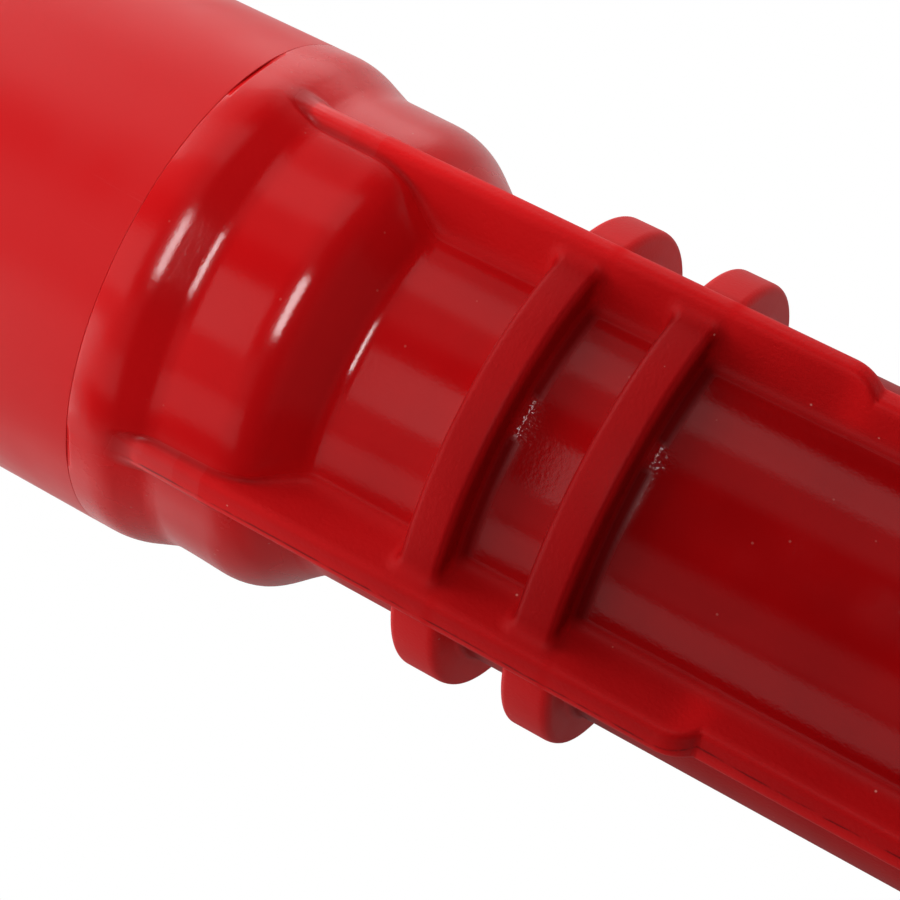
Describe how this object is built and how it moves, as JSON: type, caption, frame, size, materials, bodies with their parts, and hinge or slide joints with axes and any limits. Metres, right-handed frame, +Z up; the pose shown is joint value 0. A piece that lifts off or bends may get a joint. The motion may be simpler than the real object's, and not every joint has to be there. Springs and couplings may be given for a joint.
{
  "type": "post driver",
  "caption": "Slide-hammer post driver: finned red neck over a steel guide tube, and a red barrel hammer with side handles that slides and turns on it.",
  "frame": {"origin": "on the tool's axis, in the plane of the mouth that stands on the ground", "axes": "+Z up the tool's axis from the mouth to the cap; the handles lie on +X and -X; the front panel of the neck faces -Y"},
  "size_m": [0.2182, 0.114, 0.6663],
  "materials": {
    "red_moulding": "glossy red injection moulding, satin on the fins and hoops",
    "red_barrel": "satin red moulding",
    "zinc_steel": "bright zinc-plated tube",
    "forged_steel": "black oxide with worn edges",
    "fastener_steel": "zinc-plated",
    "bronze": "machined bearing bronze",
    "urethane": "matt black urethane",
    "black_polymer": "matt",
    "handle_paint": "red powder coat",
    "grip_rubber": "matt black rubber"
  },
  "bodies": {
    "guide_unit": {"guide_tube": "zinc_steel", "anvil": "forged_steel", "anvil_wear_ring": "bronze", "anvil_pin_upper": "fastener_steel", "anvil_pin_lower": "fastener_steel", "post_pad": "black_polymer", "pad_screw": "fastener_steel", "mouth_ring": "forged_steel", "mouth_screws": "fastener_steel", "neck_shell": "red_moulding", "neck_screws": "fastener_steel", "buffer_ring": "urethane"},
    "slide_bush": {"guide_bush": "bronze"},
    "hammer": {"barrel_shell": "red_barrel", "barrel_liner": "zinc_steel", "lower_snap_ring": "fastener_steel", "upper_snap_ring": "fastener_steel", "wiper_seal": "urethane", "strike_weight": "forged_steel", "top_cap": "red_barrel", "cap_washer": "fastener_steel", "cap_bolt": "fastener_steel", "cap_side_screws": "fastener_steel", "lower_clamp_left": "forged_steel", "lower_clamp_right": "forged_steel", "upper_clamp_left": "forged_steel", "upper_clamp_right": "forged_steel", "lower_clamp_bolts": "fastener_steel", "upper_clamp_bolts": "fastener_steel", "lower_clamp_nuts": "fastener_steel", "upper_clamp_nuts": "fastener_steel", "handle_left": "handle_paint", "handle_right": "handle_paint", "grip_left": "grip_rubber", "grip_right": "grip_rubber", "handle_lock_screws": "fastener_steel"}
  },
  "joints": [
    {"name": "hammer_lift", "type": "slide", "parent": "guide_unit", "child": "slide_bush", "axis": [0, 0, 1], "range_m": [0, 0.2511]},
    {"name": "hammer_spin", "type": "hinge", "parent": "slide_bush", "child": "hammer", "pos_m": [0, 0, 0.2215], "axis": [0, 0, 1], "continuous": true}
  ]
}
